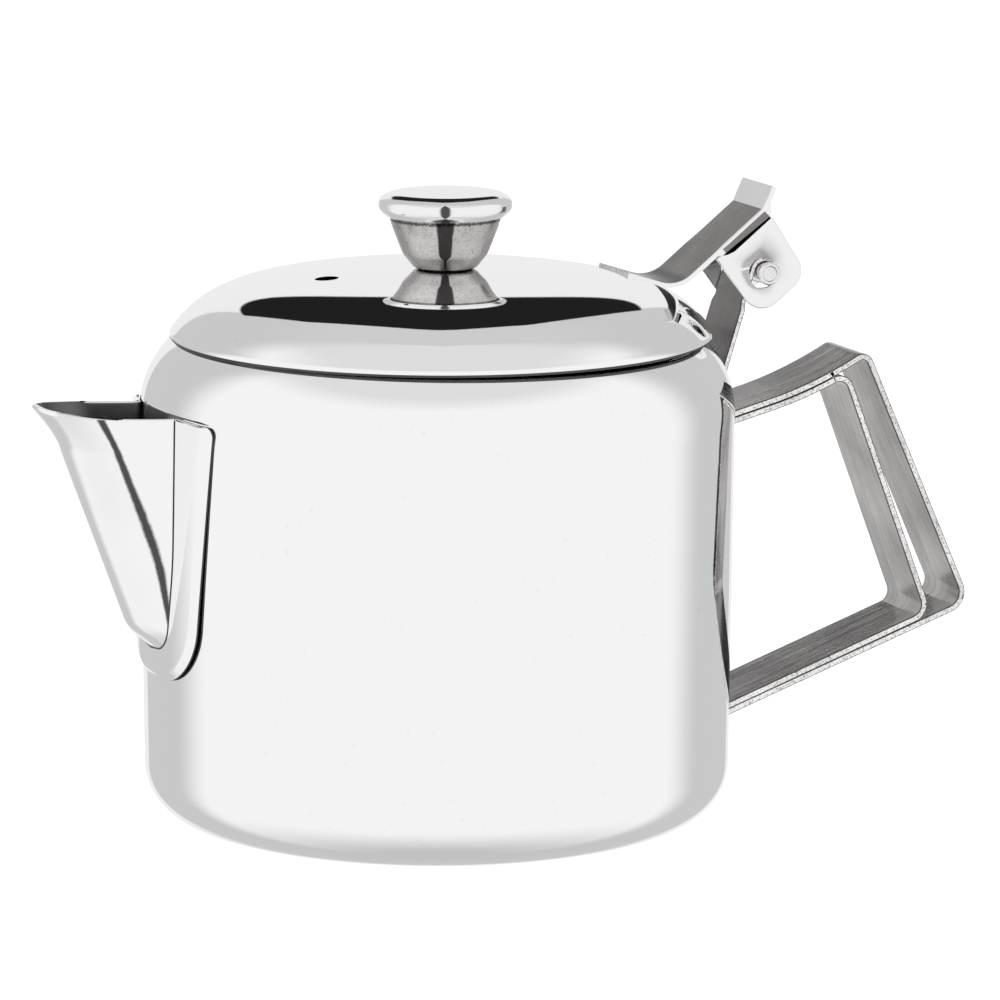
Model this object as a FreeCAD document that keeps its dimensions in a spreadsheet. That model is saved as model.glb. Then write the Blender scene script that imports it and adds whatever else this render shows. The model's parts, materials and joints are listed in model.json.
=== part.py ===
"""A stainless-steel teapot with a hinged lid, built as a parametric document of pressed and bent sheet parts.

Millimetres. +Z is up, the origin is the centre of the base's underside, the spout points to -X and the
handle and the lid's hinge are at +X. The hinge pin runs along Y, and the pot is symmetric about Y = 0.
"""
import FreeCAD, Part
import math
import os
import re
import Sketcher

AXIS_X = FreeCAD.Vector(1, 0, 0)
AXIS_Y = FreeCAD.Vector(0, 1, 0)
AXIS_Z = FreeCAD.Vector(0, 0, 1)

doc = FreeCAD.newDocument("Teapot")
sheet = doc.addObject("Spreadsheet::Sheet", "Sizes")

SIZES = {
    # Pot: one drawn shell with a slight taper, a turned shoulder and a recessed base.
    "wall": 0.8,
    "body_radius": 50.0,
    "base_radius": 49.1,
    "base_bend": 8.9,
    "recess_radius": 35.0,
    "recess_depth": 1.2,
    "recess_slope": 1.8,
    "recess_bend": 2.0,
    "shoulder_height": 78.6,
    "shoulder_bend": 17.05,
    "mouth_radius": 40.5,
    "mouth_height": 83.65,
    "strainer_radius": 1.5,
    "strainer_pitch": 4.6,
    "strainer_bottom": 41.0,
    "strainer_rows": 5,
    "strainer_reach": 3.0,
    # Lid: a shallow dome that drops to a rim just above the shoulder.
    "crown_height": 92.4,
    "crown_radius": 19.7,
    "crown_bend": 118.0,
    "brow_radius": 38.95,
    "brow_height": 89.2,
    "brow_bend": 19.5,
    "rim_radius": 45.4,
    "rim_height": 82.25,
    "rim_bend": 1.0,
    "rim_edge": 81.4,
    "lid_shift": 0.75,
    "knob_shift": 0.65,
    "vent_radius": 2.0,
    "vent_offset": 20.4,
    "collar_radius": 38.9,
    "collar_edge": 77.5,
    "collar_top": 86.8,
    "collar_slope": 0.5,
    # Knob: a tapered cup closed by a domed cap, and the rivet that holds the cup to the lid.
    "knob_sheet": 0.6,
    "knob_foot": 5.6,
    "knob_foot_bend": 0.9,
    "knob_belly": 7.3,
    "knob_belly_height": 94.6,
    "knob_belly_bend": 5.0,
    "knob_neck": 9.5,
    "knob_neck_height": 101.0,
    "knob_neck_bend": 2.0,
    "knob_top": 103.6,
    "cap_crown": 7.2,
    "cap_height": 105.5,
    "cap_bend": 16.0,
    "cap_radius": 11.2,
    "cap_shoulder": 103.9,
    "cap_shoulder_bend": 1.2,
    "cap_waist": 102.6,
    "cap_waist_bend": 0.9,
    "cap_lip": 10.25,
    "cap_lip_height": 101.5,
    "rivet_hole": 1.7,
    "rivet_radius": 1.6,
    "rivet_head": 3.2,
    "rivet_head_thickness": 0.9,
    "rivet_head_bend": 0.45,
    # Hinge: a pin in a curled bracket.
    "pin_x": 57.4,
    "pin_height": 89.6,
    "pin_radius": 1.8,
    "pin_length": 15.4,
    "pin_chamfer": 0.3,
    "pin_head_radius": 2.15,
    "pin_head_length": 1.05,
    "pin_dish_radius": 1.35,
    "pin_dish_depth": 0.35,
    "knuckle_gap": 0.05,
    "curl_flat": 0.02,
    "bracket_sheet": 0.9,
    "bracket_width": 13.0,
    "bracket_length": 19.5,
    "bracket_lean": 17.5,
    "tongue_width": 10.6,
    "tongue_length": 6.9,
    # Lever: a strip that rests on the lid, rises to a thumb tab and carries two pierced ears.
    "lever_sheet": 0.8,
    "lever_width": 12.86,
    "foot_x": 32.0,
    "foot_height": 90.95,
    "dip_x": 41.0,
    "dip_height": 88.1,
    "dip_bend": 6.0,
    "tab_root_x": 56.5,
    "tab_root_height": 100.6,
    "tab_bend": 0.9,
    "tab_x": 58.3,
    "tab_height": 104.4,
    "ear_back_x": 47.1,
    "ear_back_height": 93.6,
    "ear_front_x": 64.9,
    "ear_front_height": 89.0,
    "ear_front_bend": 3.3,
    "ear_bottom_x": 56.0,
    "ear_bottom_height": 81.9,
    "ear_bottom_bend": 4.0,
    "ear_hole_radius": 2.6,
    "ear_hole_offset": 0.75,
    # Handle: two bent bands, one inside the other, that lie together along both arms.
    "band_width": 14.0,
    "band_sheet": 1.1,
    "band_root_x": 48.0,
    "upper_root": 65.6,
    "outer_rise_x": 66.2,
    "outer_rise": 70.35,
    "outer_rise_bend": 70.0,
    "outer_corner_x": 76.2,
    "outer_corner": 75.75,
    "outer_corner_bend": 2.2,
    "outer_heel_x": 96.5,
    "outer_heel": 30.05,
    "outer_heel_bend": 3.6,
    "lower_root": 12.9,
    "inner_start_x": 50.9,
    "inner_start": 65.15,
    "inner_rise_x": 64.4,
    "inner_rise": 68.7,
    "inner_rise_bend": 71.0,
    "inner_corner_x": 72.45,
    "inner_corner": 72.4,
    "inner_corner_bend": 2.9,
    "inner_heel_x": 89.0,
    "inner_heel": 28.58,
    "inner_heel_bend": 3.2,
    "inner_root": 14.1,
    # Spout: a pressed channel that widens upwards, with a flange that is welded to the pot.
    "spout_sheet": 0.8,
    "spout_root_x": 45.0,
    "toe_height": 31.2,
    "toe_x": 50.4,
    "toe_half": 2.4,
    "keel_height": 36.5,
    "keel_x": 54.6,
    "keel_half": 7.2,
    "lip_height": 69.5,
    "lip_x": 67.6,
    "lip_half": 10.1,
    "tip_height": 75.0,
    "tip_x": 71.3,
    "tip_half": 10.4,
    "root_share": 0.97,
    "nose_share": 0.95,
    "mouth_level": 71.2,
    "mouth_rise": 2.6,
    "mouth_flat": 5.0,
    "mouth_margin": 1.0,
    "flange_half": 19.35,
    "flange_foot_half": 13.9,
    "flange_bend": 11.5,
    "flange_bottom": 26.75,
}


def fill_sheet():
    """Write every driving size into the sheet, with its name beside it."""
    for row, (name, size) in enumerate(SIZES.items(), start=1):
        sheet.set("A%d" % row, name)
        sheet.set("B%d" % row, str(size))
        sheet.setAlias("B%d" % row, name)
    doc.recompute()


def bound(formula):
    """Return a formula of size names as an expression that reads the sheet."""
    return re.sub(r"[a-z_]+", lambda word: "Sizes." + word.group() if word.group() in SIZES else word.group(),
                  str(formula))


def size(formula):
    """Return the present value of a formula of size names, in millimetres."""
    return float(sheet.evalExpression(bound(formula)))


# Sketches ------------------------------------------------------------------------------------------------

class Outline:
    """A chain of straight runs with rounded corners, each corner held by formulas of the sheet's sizes."""

    def __init__(self, sketch, corners, closed):
        self.sketch = sketch
        self.corners = [(x, y, bend) for x, y, bend in corners]
        self.points = [FreeCAD.Vector(size(x), size(y), 0) for x, y, bend in corners]
        self.closed = closed
        self.add_runs()

    def rounding(self, index):
        """Return the tangent points and the arc's middle at one corner, or None where it stays sharp."""
        bend = self.corners[index][2]
        if not bend or (not self.closed and index in (0, len(self.points) - 1)):
            return None
        corner = self.points[index]
        before = (self.points[index - 1] - corner).normalize()
        after = (self.points[(index + 1) % len(self.points)] - corner).normalize()
        half = before.getAngle(after) / 2
        tangent = size(bend) / math.tan(half)
        to_middle = size(bend) / math.sin(half) - size(bend)
        middle = corner + (before + after).normalize() * to_middle
        return corner + before * tangent, middle, corner + after * tangent

    def add_runs(self):
        """Add the lines, the corner arcs and the constraints that bind them."""
        count = len(self.points)
        runs = count if self.closed else count - 1
        rounds = [self.rounding(index) for index in range(count)]
        lines = []
        for index in range(runs):
            following = (index + 1) % count
            start = rounds[index][2] if rounds[index] else self.points[index]
            end = rounds[following][0] if rounds[following] else self.points[following]
            lines.append(self.sketch.addGeometry(Part.LineSegment(start, end)))
        for index in range(count):
            before = lines[index - 1] if self.closed or index > 0 else None
            after = lines[index] if self.closed or index < count - 1 else None
            if rounds[index]:
                self.round_corner(index, rounds[index], before, after)
            else:
                self.sharp_corner(index, before, after)

    def hold(self, index, geometry, end):
        """Bind one sketch point to the corner's two formulas."""
        for axis, kind in enumerate(("DistanceX", "DistanceY")):
            formula = self.corners[index][axis]
            value = self.points[index][axis]
            if abs(value) < 1e-9:
                self.sketch.addConstraint(Sketcher.Constraint("PointOnObject", geometry, end, -2 + axis))
                continue
            number = self.sketch.addConstraint(Sketcher.Constraint(kind, -1, 1, geometry, end, value))
            self.sketch.setExpression("Constraints[%d]" % number, bound(formula))

    def sharp_corner(self, index, before, after):
        """Join the two runs at a plain corner, or hold the free end of an open chain."""
        if before is not None and after is not None:
            self.sketch.addConstraint(Sketcher.Constraint("Coincident", before, 2, after, 1))
        if after is not None:
            self.hold(index, after, 1)
        else:
            self.hold(index, before, 2)

    def round_corner(self, index, rounding, before, after):
        """Put a tangent arc between two runs whose extensions meet at the held corner."""
        start, middle, end = rounding
        arc = self.sketch.addGeometry(Part.Arc(start, middle, end))
        turns_left = (middle - start).cross(end - start).z > 0
        first, last = (1, 2) if turns_left else (2, 1)
        self.sketch.addConstraint(Sketcher.Constraint("Tangent", before, 2, arc, first))
        self.sketch.addConstraint(Sketcher.Constraint("Tangent", arc, last, after, 1))
        radius = self.sketch.addConstraint(Sketcher.Constraint("Radius", arc, size(self.corners[index][2])))
        self.sketch.setExpression("Constraints[%d]" % radius, bound(self.corners[index][2]))
        corner = self.sketch.addGeometry(Part.Point(self.points[index]), True)
        self.sketch.addConstraint(Sketcher.Constraint("PointOnObject", corner, 1, before))
        self.sketch.addConstraint(Sketcher.Constraint("PointOnObject", corner, 1, after))
        self.hold(index, corner, 1)


PLANES = {
    "side": FreeCAD.Rotation(FreeCAD.Vector(1, 0, 0), 90),
    "level": FreeCAD.Rotation(),
    "front": FreeCAD.Rotation(FreeCAD.Vector(1, 1, 1), 120),
}


def sketch(name, plane, corners, closed=True, level=None):
    """Make a sketch in the XZ (side), XY (level) or YZ (front) plane; level lifts it to a height."""
    drawing = doc.addObject("Sketcher::SketchObject", name)
    drawing.Placement = FreeCAD.Placement(FreeCAD.Vector(), PLANES[plane])
    if level is not None:
        drawing.setExpression("Placement.Base.z", bound(level))
    Outline(drawing, corners, closed)
    doc.recompute()
    return drawing


# Solids --------------------------------------------------------------------------------------------------

def sheet_section(name, corners, thickness):
    """Give an open side-plane chain a thickness to its left (or right, if negative), like a sheet's edge."""
    section = doc.addObject("Part::Offset2D", name + "_section")
    section.Source = sketch(name + "_line", "side", corners, closed=False)
    section.setExpression("Value", bound(thickness))
    section.Mode = "Skin"
    section.Fill = True
    doc.recompute()
    return section


def turned(name, section, shift="0"):
    """Turn a side-plane section about the pot's axis, then move it by the shift towards the handle."""
    solid = doc.addObject("Part::Revolution", name)
    solid.setExpression("Placement.Base.x", bound(shift))
    solid.Source = section
    solid.Axis = FreeCAD.Vector(0, 0, 1)
    solid.Base = FreeCAD.Vector(0, 0, 0)
    solid.Angle = 360
    solid.Solid = True
    return solid


def extruded(name, section, direction, length):
    """Extrude a section to both sides of its plane."""
    solid = doc.addObject("Part::Extrusion", name)
    solid.Base = section
    solid.DirMode = "Custom"
    solid.Dir = direction
    solid.Solid = True
    solid.Symmetric = True
    solid.setExpression("LengthFwd", bound(length))
    return solid


def across(name, section, width):
    """Extrude a side-plane section across the pot, along Y."""
    return extruded(name, section, FreeCAD.Vector(0, 1, 0), width)


def cylinder(name, radius, length, base, direction):
    """A plain cylinder whose base point is held by three formulas."""
    solid = doc.addObject("Part::Cylinder", name)
    solid.setExpression("Radius", bound(radius))
    solid.setExpression("Height", bound(length))
    solid.Placement.Rotation = FreeCAD.Rotation(FreeCAD.Vector(0, 0, 1), direction)
    for axis, formula in zip("xyz", base):
        solid.setExpression("Placement.Base." + axis, bound(formula))
    return solid


def joined(name, pieces):
    """Fuse pieces into one solid."""
    solid = doc.addObject("Part::MultiFuse", name)
    solid.Shapes = pieces
    return solid


def cut(name, base, tool):
    """Cut one solid from another."""
    solid = doc.addObject("Part::Cut", name)
    solid.Base = base
    solid.Tool = tool
    return solid


def common(name, pieces):
    """Keep what the pieces share."""
    solid = doc.addObject("Part::MultiCommon", name)
    solid.Shapes = pieces
    return solid


# Pot -----------------------------------------------------------------------------------------------------

POT_LINE = [
    (0, "recess_depth", None),
    ("recess_radius", "recess_depth", "recess_bend"),
    ("recess_radius + recess_slope", 0, "recess_bend"),
    ("base_radius", 0, "base_bend"),
    ("body_radius", "shoulder_height", "shoulder_bend"),
    ("mouth_radius", "mouth_height", None),
]


WALL_LINE = POT_LINE[3:]


def pot_outside():
    """The space inside the pot's outer surface, which trims everything that is welded to the pot."""
    outline = sketch("pot_outside_line", "side", POT_LINE + [(0, "mouth_height", None)])
    return turned("pot_outside", outline)


def body_shell():
    """The drawn pot, with strainer holes through its wall behind the spout."""
    shell = turned("pot_wall", sheet_section("pot", POT_LINE, "wall"))
    holes = []
    for row in range(SIZES["strainer_rows"]):
        height = "strainer_bottom + %d * strainer_pitch" % row
        for column in (-1, 0, 1):
            base = ("-body_radius - strainer_reach", "%d * strainer_pitch" % column, height)
            name = "strainer_hole_%d_%d" % (row, column + 1)
            holes.append(cylinder(name, "strainer_radius", "2 * strainer_reach", base, AXIS_X))
    return cut("body_shell", shell, joined("strainer_holes", holes))


# Lid and knob --------------------------------------------------------------------------------------------

LID_LINE = [
    ("crown_radius", "crown_height", "crown_bend"),
    ("brow_radius", "brow_height", "brow_bend"),
    ("rim_radius", "rim_height", "rim_bend"),
    ("rim_radius", "rim_edge", None),
]
KNOB_SHIFT = "lid_shift + knob_shift"


def lid_outside():
    """The space inside the lid's outer surface, which trims the lever's foot."""
    outline = [(0, "rim_edge", None), (0, "crown_height", None)] + LID_LINE
    return turned("lid_outside", sketch("lid_outside_line", "side", outline), "lid_shift")


def lid_shell():
    """The domed lid, with a hole for the knob's rivet and a steam vent."""
    line = [("rivet_hole + knob_shift", "crown_height", None)] + LID_LINE
    dome = turned("lid_dome", sheet_section("lid", line, "-wall"), "lid_shift")
    vent = cylinder("vent", "vent_radius", "crown_height", ("lid_shift - vent_offset", 0, "rim_edge"), AXIS_Z)
    return cut("lid_shell", dome, vent)


def lid_collar():
    """The ring under the lid that centres it in the pot's mouth; its top follows the slope of the dome."""
    outline = [
        ("collar_radius - wall", "collar_edge", None),
        ("collar_radius", "collar_edge", None),
        ("collar_radius", "collar_top", None),
        ("collar_radius - wall", "collar_top + collar_slope", None),
    ]
    return turned("lid_collar", sketch("collar_line", "side", outline), "lid_shift")


def knob_cap():
    """The domed cap of the knob, with its edge rolled inwards under the rim."""
    line = [
        (0, "cap_height", None),
        ("cap_crown", "cap_height", "cap_bend"),
        ("cap_radius", "cap_shoulder", "cap_shoulder_bend"),
        ("cap_radius", "cap_waist", "cap_waist_bend"),
        ("cap_lip", "cap_lip_height", None),
    ]
    return turned("knob_cap", sheet_section("cap", line, "-knob_sheet"), KNOB_SHIFT)


def knob_cup():
    """The tapered cup that the fingers hold; its neck ends just inside the cap."""
    line = [
        ("rivet_hole", "crown_height", None),
        ("knob_foot", "crown_height", "knob_foot_bend"),
        ("knob_belly", "knob_belly_height", "knob_belly_bend"),
        ("knob_neck", "knob_neck_height", "knob_neck_bend"),
        ("knob_neck", "knob_top", None),
    ]
    return turned("knob_cup", sheet_section("cup", line, "knob_sheet"), KNOB_SHIFT)


def knob_rivet():
    """The rivet through the lid and the foot of the cup."""
    inside = "crown_height - wall"
    outside = "crown_height + knob_sheet"
    outline = [
        (0, inside + " - rivet_head_thickness", None),
        ("rivet_head", inside + " - rivet_head_thickness", "rivet_head_bend"),
        ("rivet_head", inside, None),
        ("rivet_radius", inside, None),
        ("rivet_radius", outside, None),
        ("rivet_head", outside, None),
        ("rivet_head", outside + " + rivet_head_thickness", "rivet_head_bend"),
        (0, outside + " + rivet_head_thickness", None),
    ]
    return turned("knob_rivet", sketch("rivet_line", "side", outline), KNOB_SHIFT)


# Hinge ---------------------------------------------------------------------------------------------------

def hinge_pin():
    """The pin, with a shallow dish in each peened head."""
    end = "pin_length / 2"
    side = [
        ("pin_x", end + " - pin_dish_depth", None),
        ("pin_x + pin_dish_radius", end + " - pin_dish_depth", None),
        ("pin_x + pin_dish_radius", end, None),
        ("pin_x + pin_head_radius - pin_chamfer", end, None),
        ("pin_x + pin_head_radius", end + " - pin_chamfer", None),
        ("pin_x + pin_head_radius", end + " - pin_head_length", None),
        ("pin_x + pin_radius", end + " - pin_head_length", None),
    ]
    other_side = [(x, "-(" + y + ")", bend) for x, y, bend in reversed(side)]
    pin = doc.addObject("Part::Revolution", "hinge_pin")
    pin.Source = sketch("pin_line", "level", side + other_side, level="pin_height")
    pin.Axis = AXIS_Y
    pin.setExpression("Base.x", bound("pin_x"))
    pin.setExpression("Base.z", bound("pin_height"))
    pin.Angle = 360
    pin.Solid = True
    return pin


def at_pin(drawing):
    """Move a side-plane sketch to the pin and lean it away from the pot, as the bracket leans."""
    lean = FreeCAD.Rotation(AXIS_Y, size("bracket_lean"))
    drawing.Placement.Rotation = lean.multiply(PLANES["side"])
    drawing.setExpression("Placement.Base.x", bound("pin_x"))
    drawing.setExpression("Placement.Base.z", bound("pin_height"))


def hinge_bracket(outside):
    """A strip welded to the shoulder; its narrower end curls round the pin."""
    reach = "pin_radius + knuckle_gap + bracket_sheet"
    bend = reach + " - curl_flat"
    near = "-(" + reach + ")"
    far = "-(pin_radius + knuckle_gap)"
    stem = sketch("stem_line", "side", [
        (near, "-bracket_length", None),
        (far, "-bracket_length", None),
        (far, "-tongue_length", None),
        (near, "-tongue_length", None),
    ])
    at_pin(stem)
    curl = sheet_section("curl", [
        (near, "-tongue_length", None),
        (near, reach, bend),
        (reach, reach, bend),
        (reach, "-pin_radius", None),
    ], "-bracket_sheet")
    at_pin(curl.Source)
    strips = [across("stem", stem, "bracket_width"), across("tongue", curl, "tongue_width")]
    return cut("hinge_bracket", joined("bracket_strip", strips), outside)


def lid_lever(dome):
    """The thumb lever: a foot on the lid, a rising web with two ears for the pin, and a tab."""
    line = [
        ("foot_x", "foot_height", None),
        ("dip_x", "dip_height", "dip_bend"),
        ("tab_root_x", "tab_root_height", "tab_bend"),
        ("tab_x", "tab_height", None),
    ]
    strip = across("lever_strip", sheet_section("lever", line, "-lever_sheet"), "lever_width")
    ear_line = [
        ("ear_back_x", "ear_back_height", None),
        ("ear_bottom_x", "ear_bottom_height", "ear_bottom_bend"),
        ("ear_front_x", "ear_front_height", "ear_front_bend"),
        ("tab_root_x", "tab_root_height - lever_sheet / 2", None),
    ]
    ear = sketch("ear_line", "side", ear_line)
    ears = cut("ears", across("ears_solid", ear, "lever_width"),
               across("ears_gap", ear, "lever_width - 2 * lever_sheet"))
    bent = joined("lever_bent", [strip, ears])
    hole_base = ("pin_x - ear_hole_offset", "-lever_width", "pin_height")
    hole = cylinder("ear_holes", "ear_hole_radius", "2 * lever_width", hole_base, AXIS_Y)
    return cut("lid_lever", cut("lever_pierced", bent, hole), dome)


# Handle --------------------------------------------------------------------------------------------------

def handle_outer_band(outside):
    """The outer band: it rises along the upper arm, turns down as the grip and returns along the lower arm."""
    line = [
        ("band_root_x", "upper_root", None),
        ("outer_rise_x", "outer_rise", "outer_rise_bend"),
        ("outer_corner_x", "outer_corner", "outer_corner_bend"),
        ("outer_heel_x", "outer_heel", "outer_heel_bend"),
        ("band_root_x", "lower_root", None),
    ]
    band = across("outer_band", sheet_section("outer_band", line, "-band_sheet"), "band_width")
    return cut("handle_outer_band", band, outside)


def handle_inner_band(outside):
    """The inner band: it lies against the outer band along both arms and stops just short of the pot on top."""
    line = [
        ("inner_start_x", "inner_start", None),
        ("inner_rise_x", "inner_rise", "inner_rise_bend"),
        ("inner_corner_x", "inner_corner", "inner_corner_bend"),
        ("inner_heel_x", "inner_heel", "inner_heel_bend"),
        ("band_root_x", "inner_root", None),
    ]
    band = across("inner_band", sheet_section("inner_band", line, "-band_sheet"), "band_width")
    return cut("handle_inner_band", band, outside)


# Spout ---------------------------------------------------------------------------------------------------

def channel(name, inset):
    """Loft the spout's channel through level U-shaped sections, each drawn in by the inset."""
    sections = []
    for station in ("toe", "keel", "lip", "tip"):
        nose = "-%s_x + %s" % (station, inset)
        half = "%s_half - %s" % (station, inset)
        bend = "nose_share * (%s)" % half
        root_half = "root_share * %s_half - %s" % (station, inset)
        outline = [
            ("-spout_root_x", root_half, None),
            (nose, half, bend),
            (nose, "-(%s)" % half, bend),
            ("-spout_root_x", "-(%s)" % root_half, None),
        ]
        sections.append(sketch("%s_%s" % (name, station), "level", outline, level=station + "_height"))
    loft = doc.addObject("Part::Loft", name)
    loft.Sections = sections
    loft.Solid = True
    loft.Ruled = True
    return loft


def flange():
    """The U-shaped flange: a patch of sheet that lies on the pot's wall round the channel."""
    outline = sketch("flange_line", "front", [
        ("-flange_half", "mouth_level", None),
        ("-flange_foot_half", "flange_bottom", "flange_bend"),
        ("flange_foot_half", "flange_bottom", "flange_bend"),
        ("flange_half", "mouth_level", None),
    ])
    reach = extruded("flange_reach", outline, AXIS_X, "2 * body_radius")
    skin = sheet_section("flange_skin", WALL_LINE, "-spout_sheet")
    half_space = doc.addObject("Part::Box", "spout_side")
    for edge in ("Length", "Width", "Height"):
        half_space.setExpression(edge, bound("2 * body_radius"))
    half_space.setExpression("Placement.Base.x", bound("-2 * body_radius"))
    half_space.setExpression("Placement.Base.y", bound("-body_radius"))
    return common("flange", [reach, turned("flange_ring", skin), half_space])


def spout(outside):
    """The pressed spout: channel and flange in one, open at the top and cut level with a rise to the tip."""
    outer = joined("spout_outer", [channel("channel_outer", "0"), flange()])
    hollow = channel("channel_hollow", "spout_sheet")
    shell = cut("spout_open", cut("spout_hollow", outer, hollow), outside)
    above = sketch("mouth_line", "side", [
        ("-spout_root_x + mouth_flat", "mouth_level", None),
        ("-spout_root_x - mouth_flat", "mouth_level", None),
        ("-tip_x - mouth_margin", "mouth_level + mouth_rise", None),
        ("-tip_x - mouth_margin", "crown_height", None),
        ("-spout_root_x + mouth_flat", "crown_height", None),
    ])
    return cut("spout", shell, across("spout_above", above, "2 * body_radius"))


# Build ---------------------------------------------------------------------------------------------------

def build():
    """Build every piece and return the named list of finished solids."""
    fill_sheet()
    outside = pot_outside()
    pieces = [
        body_shell(),
        spout(outside),
        handle_outer_band(outside),
        handle_inner_band(outside),
        hinge_bracket(outside),
        hinge_pin(),
        lid_shell(),
        lid_collar(),
        knob_cup(),
        knob_cap(),
        knob_rivet(),
        lid_lever(lid_outside()),
    ]
    doc.recompute()
    return pieces


def check(pieces):
    """Stop if any object failed, or any piece isn't one or more valid closed solids."""
    failed = [item.Label for item in doc.Objects if "Invalid" in item.State or "Error" in item.State]
    if failed:
        raise RuntimeError("failed objects: " + ", ".join(failed))
    for piece in pieces:
        if piece.Shape.isNull() or not piece.Shape.isValid() or not piece.Shape.Solids:
            raise RuntimeError("bad shape: " + piece.Label)


def write(pieces):
    """Write each piece to its own STEP file."""
    os.makedirs("parts", exist_ok=True)
    for piece in pieces:
        piece.Shape.exportStep("parts/%s.step" % piece.Label)


finished = build()
check(finished)
write(finished)
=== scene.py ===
"""A stainless-steel teapot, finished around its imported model: fine sheet surfaces, steels and a light studio.

Lengths in the shape functions are millimetres; meshes are made in metres. The spout points to -X, the handle
and the lid's hinge are at +X, and the whole pot is symmetric about Y = 0.
"""
import json
import math

import bmesh
import bpy
import numpy as np
from mathutils import Matrix, Vector
from mathutils.geometry import delaunay_2d_cdt


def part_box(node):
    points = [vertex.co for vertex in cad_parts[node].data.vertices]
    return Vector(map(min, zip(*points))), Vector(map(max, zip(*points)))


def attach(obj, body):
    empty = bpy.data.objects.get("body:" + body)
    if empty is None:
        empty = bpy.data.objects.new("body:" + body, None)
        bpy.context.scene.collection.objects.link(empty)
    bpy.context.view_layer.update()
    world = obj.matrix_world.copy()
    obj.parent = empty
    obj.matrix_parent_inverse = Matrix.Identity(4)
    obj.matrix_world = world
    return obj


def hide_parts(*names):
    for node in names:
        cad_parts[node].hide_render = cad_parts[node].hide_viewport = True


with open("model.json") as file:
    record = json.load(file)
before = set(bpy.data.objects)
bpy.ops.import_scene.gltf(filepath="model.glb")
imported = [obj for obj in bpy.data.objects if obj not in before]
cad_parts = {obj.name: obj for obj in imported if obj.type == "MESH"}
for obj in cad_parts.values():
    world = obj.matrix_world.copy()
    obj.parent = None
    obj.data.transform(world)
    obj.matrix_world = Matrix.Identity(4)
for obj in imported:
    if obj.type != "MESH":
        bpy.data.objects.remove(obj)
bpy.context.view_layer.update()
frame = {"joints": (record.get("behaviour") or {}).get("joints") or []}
MM = 0.001


# Driving sizes -------------------------------------------------------------------------------------------

def middle_x(node):
    """Half way along a node's box in X, in millimetres."""
    low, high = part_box(node)
    return (low.x + high.x) / 2 / MM


POT_HIGH = np.array(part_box("body_shell")[1]) / MM
LID_HIGH = np.array(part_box("lid_shell")[1]) / MM
CAP_HIGH = np.array(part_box("knob_cap")[1]) / MM
LEVER_HIGH = np.array(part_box("lid_lever")[1]) / MM
BAND_HIGH = np.array(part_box("handle_outer_band")[1]) / MM
PIN_HIGH = np.array(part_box("hinge_pin")[1]) / MM
PIN = np.array(frame["joints"][0]["pos_m"])[[0, 2]] / MM

RADIUS = 50.0
MOUTH_HEIGHT = POT_HIGH[2]
LID_RADIUS = 45.4
CROWN = LID_HIGH[2]
RIM_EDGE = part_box("lid_shell")[0].z / MM
LID_SHIFT = middle_x("lid_shell")
KNOB_SHIFT = middle_x("knob_cap")
SHEET = 0.8
BAND_SHEET = 1.1
HALF_BAND = BAND_HIGH[1]
HALF_LEVER = LEVER_HIGH[1]


# Lines ---------------------------------------------------------------------------------------------------

def rounded(corners, step):
    """Points along an open chain of (x, y, bend radius) corners, with each bend as a true arc."""
    points = [np.array(corner[:2], float) for corner in corners]
    count = len(points)
    ends = []
    for index in range(count):
        bend = corners[index][2]
        if not bend or index in (0, count - 1):
            ends.append((points[index], points[index], [points[index]]))
            continue
        before = points[index - 1] - points[index]
        after = points[index + 1] - points[index]
        before /= np.linalg.norm(before)
        after /= np.linalg.norm(after)
        half = math.acos(np.clip(before @ after, -1, 1)) / 2
        start = points[index] + before * bend / math.tan(half)
        end = points[index] + after * bend / math.tan(half)
        bisector = (before + after) / np.linalg.norm(before + after)
        centre = points[index] + bisector * bend / math.sin(half)
        turn = math.pi - 2 * half
        pieces = max(3, int(math.ceil(max(bend * turn / step, math.degrees(turn) / 7))))
        u = (start - centre) / bend
        v = -(before - (before @ u) * u)
        v /= np.linalg.norm(v)
        angles = np.linspace(0, turn, pieces + 1)
        arc = [centre + bend * (math.cos(a) * u + math.sin(a) * v) for a in angles]
        ends.append((start, end, arc))
    line = list(ends[0][2])
    for (_, start, _), (end, _, arc) in zip(ends, ends[1:]):
        runs = max(1, int(round(np.linalg.norm(end - start) / (4 * step))))
        line.extend(start + (end - start) * k / runs for k in range(1, runs))
        line.extend(arc)
    return np.array(line)


def lengths_along(line):
    """The length of an open line up to each of its points."""
    return np.r_[0, np.cumsum(np.linalg.norm(np.diff(line, axis=0), axis=1))]


def points_at(line, at):
    """The points of an open line at the given lengths along it."""
    lengths = lengths_along(line)
    return np.column_stack([np.interp(at, lengths, line[:, axis]) for axis in range(line.shape[1])])


def even(line, count):
    """The open line with a given number of evenly spaced points."""
    return points_at(line, np.linspace(0, lengths_along(line)[-1], count))


def respaced(line, step):
    """The open line with evenly spaced points, as near to the step apart as its length allows."""
    return even(line, max(2, int(round(lengths_along(line)[-1] / step))) + 1)


def eased(line, passes):
    """An open line with its curvature evened out, so that a mirror shows no break where a bend starts."""
    line = line.copy()
    for _ in range(passes):
        line[1:-1] = (line[:-2] + 2 * line[1:-1] + line[2:]) / 4
    return line


def normals(line):
    """Unit normals to the left of travel."""
    ahead = np.gradient(line, axis=0)
    ahead /= np.linalg.norm(ahead, axis=1)[:, None]
    return np.column_stack([-ahead[:, 1], ahead[:, 0]])


def offset(line, distance):
    """The open line moved to its left."""
    return line + normals(line) * distance


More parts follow.
